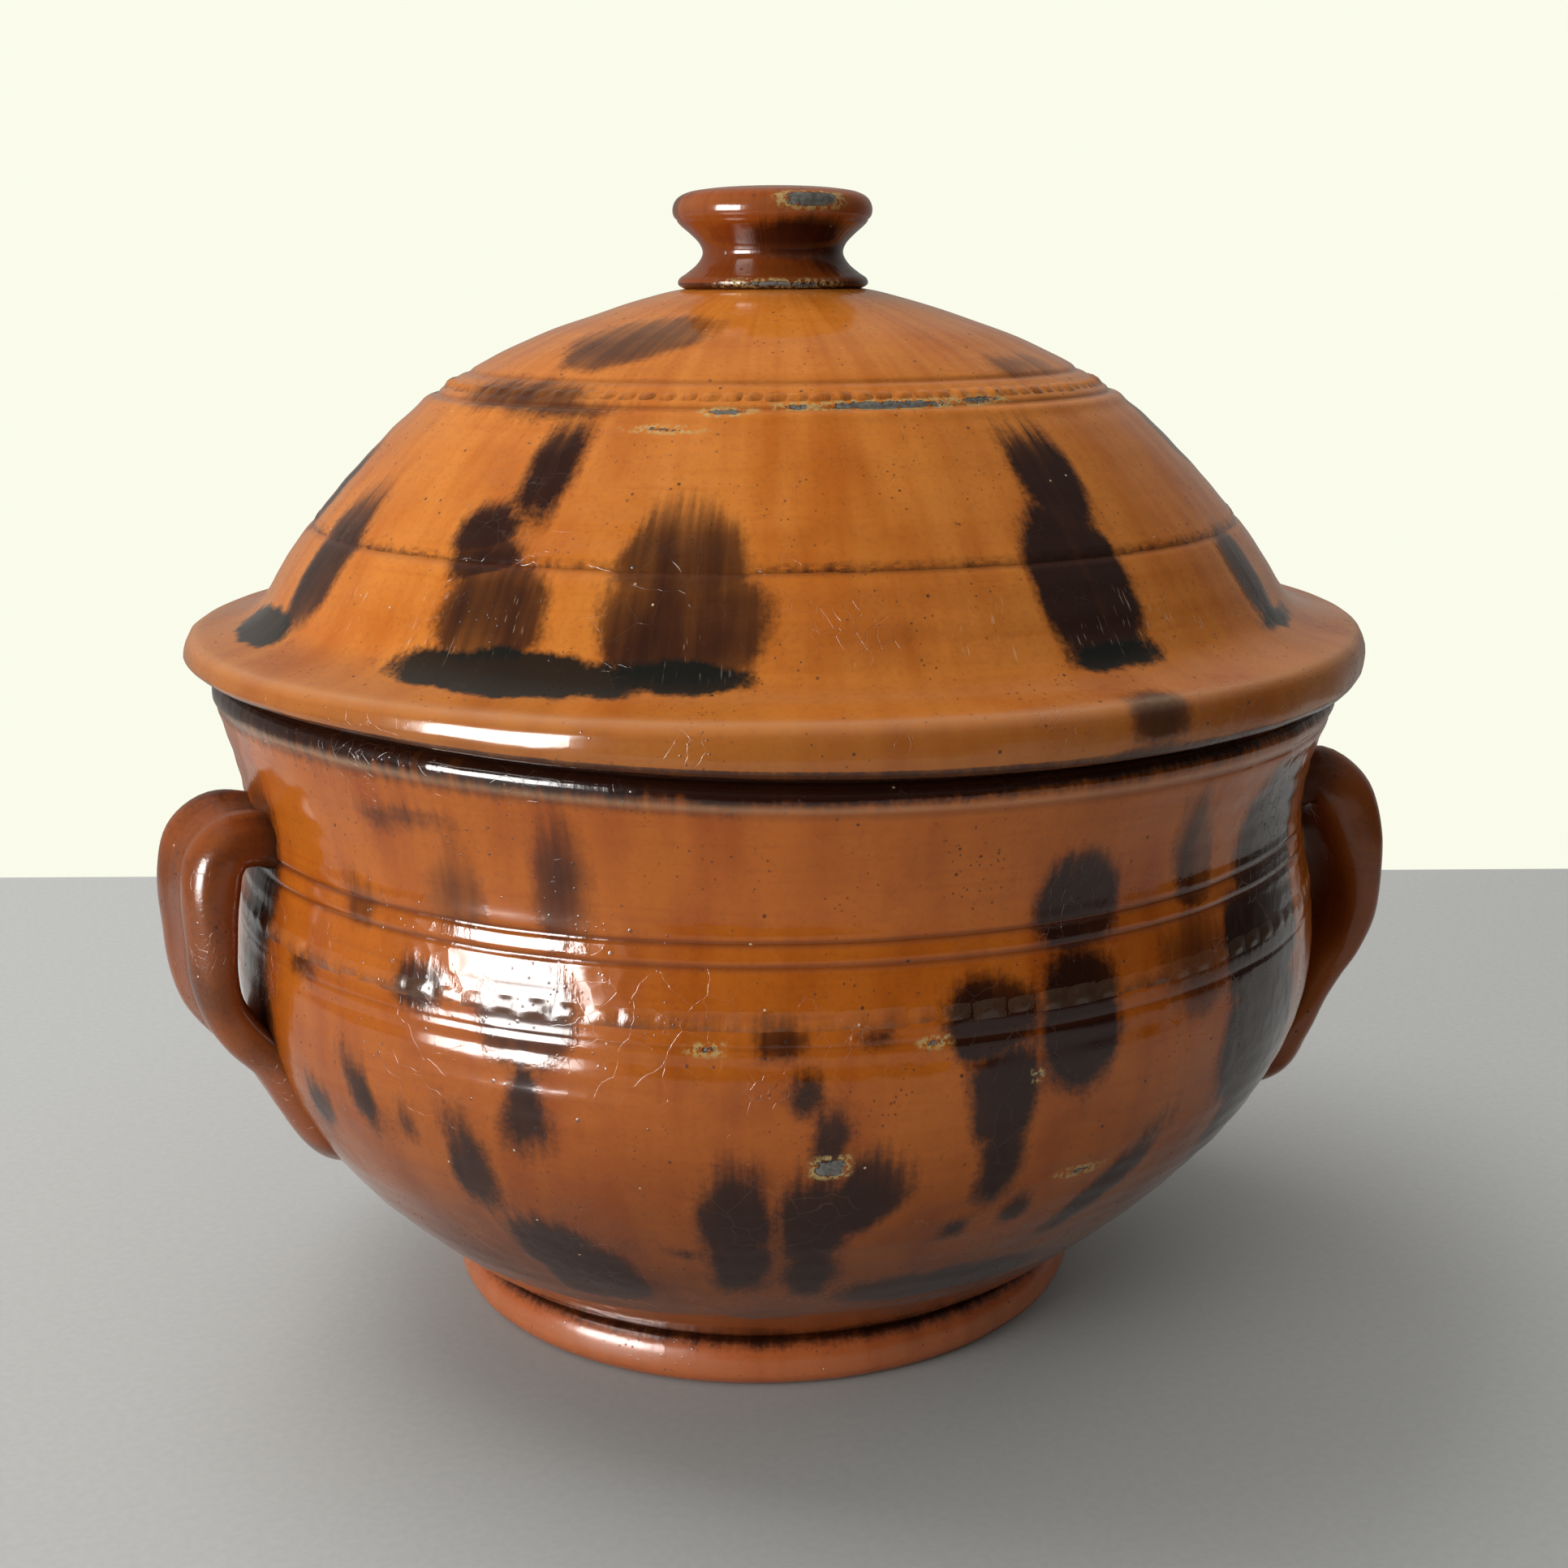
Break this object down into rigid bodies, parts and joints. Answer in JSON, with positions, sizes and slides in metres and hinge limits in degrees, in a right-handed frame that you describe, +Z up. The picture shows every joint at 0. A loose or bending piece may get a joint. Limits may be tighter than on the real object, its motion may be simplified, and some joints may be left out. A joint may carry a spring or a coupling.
{
  "type": "lidded butter crock",
  "caption": "Round footed earthenware pot with two strap handles and a domed overhanging lid with a turned knob, clear glaze over orange clay with dark brushed daubs.",
  "frame": {"origin": "middle of the foot's underside, where the pot's turning axis meets the table", "axes": "+Z up along the turning axis; X runs across the pot from one handle side to the other, and both handles sit forward of it, towards -Y, the right one by 15 degrees and the left one by 8.5"},
  "size_m": [0.1766, 0.1652, 0.1573],
  "materials": {
    "foot": "thin satin lead glaze over red clay",
    "pot_glaze": "glossy clear lead glaze over orange clay with brushed manganese daubs",
    "handle_glaze": "glossy clear lead glaze over orange clay",
    "lid_glaze": "glossy clear lead glaze over orange clay with brushed manganese daubs",
    "lid_bare_clay": "bare fired red clay with a little glaze run",
    "knob_glaze": "glossy clear lead glaze, darker with manganese"
  },
  "bodies": {
    "pot": {"foot_ring": "foot", "pot_bowl": "pot_glaze", "handle_right": "handle_glaze", "handle_left": "handle_glaze"},
    "lid": {"lid_dome": "lid_glaze", "lid_collar": "lid_bare_clay", "lid_knob": "knob_glaze"}
  },
  "joints": [
    {"name": "lid_lift", "type": "slide", "parent": "pot", "child": "lid", "axis": [0, 0, 1], "range_m": [0, 0.08]}
  ]
}
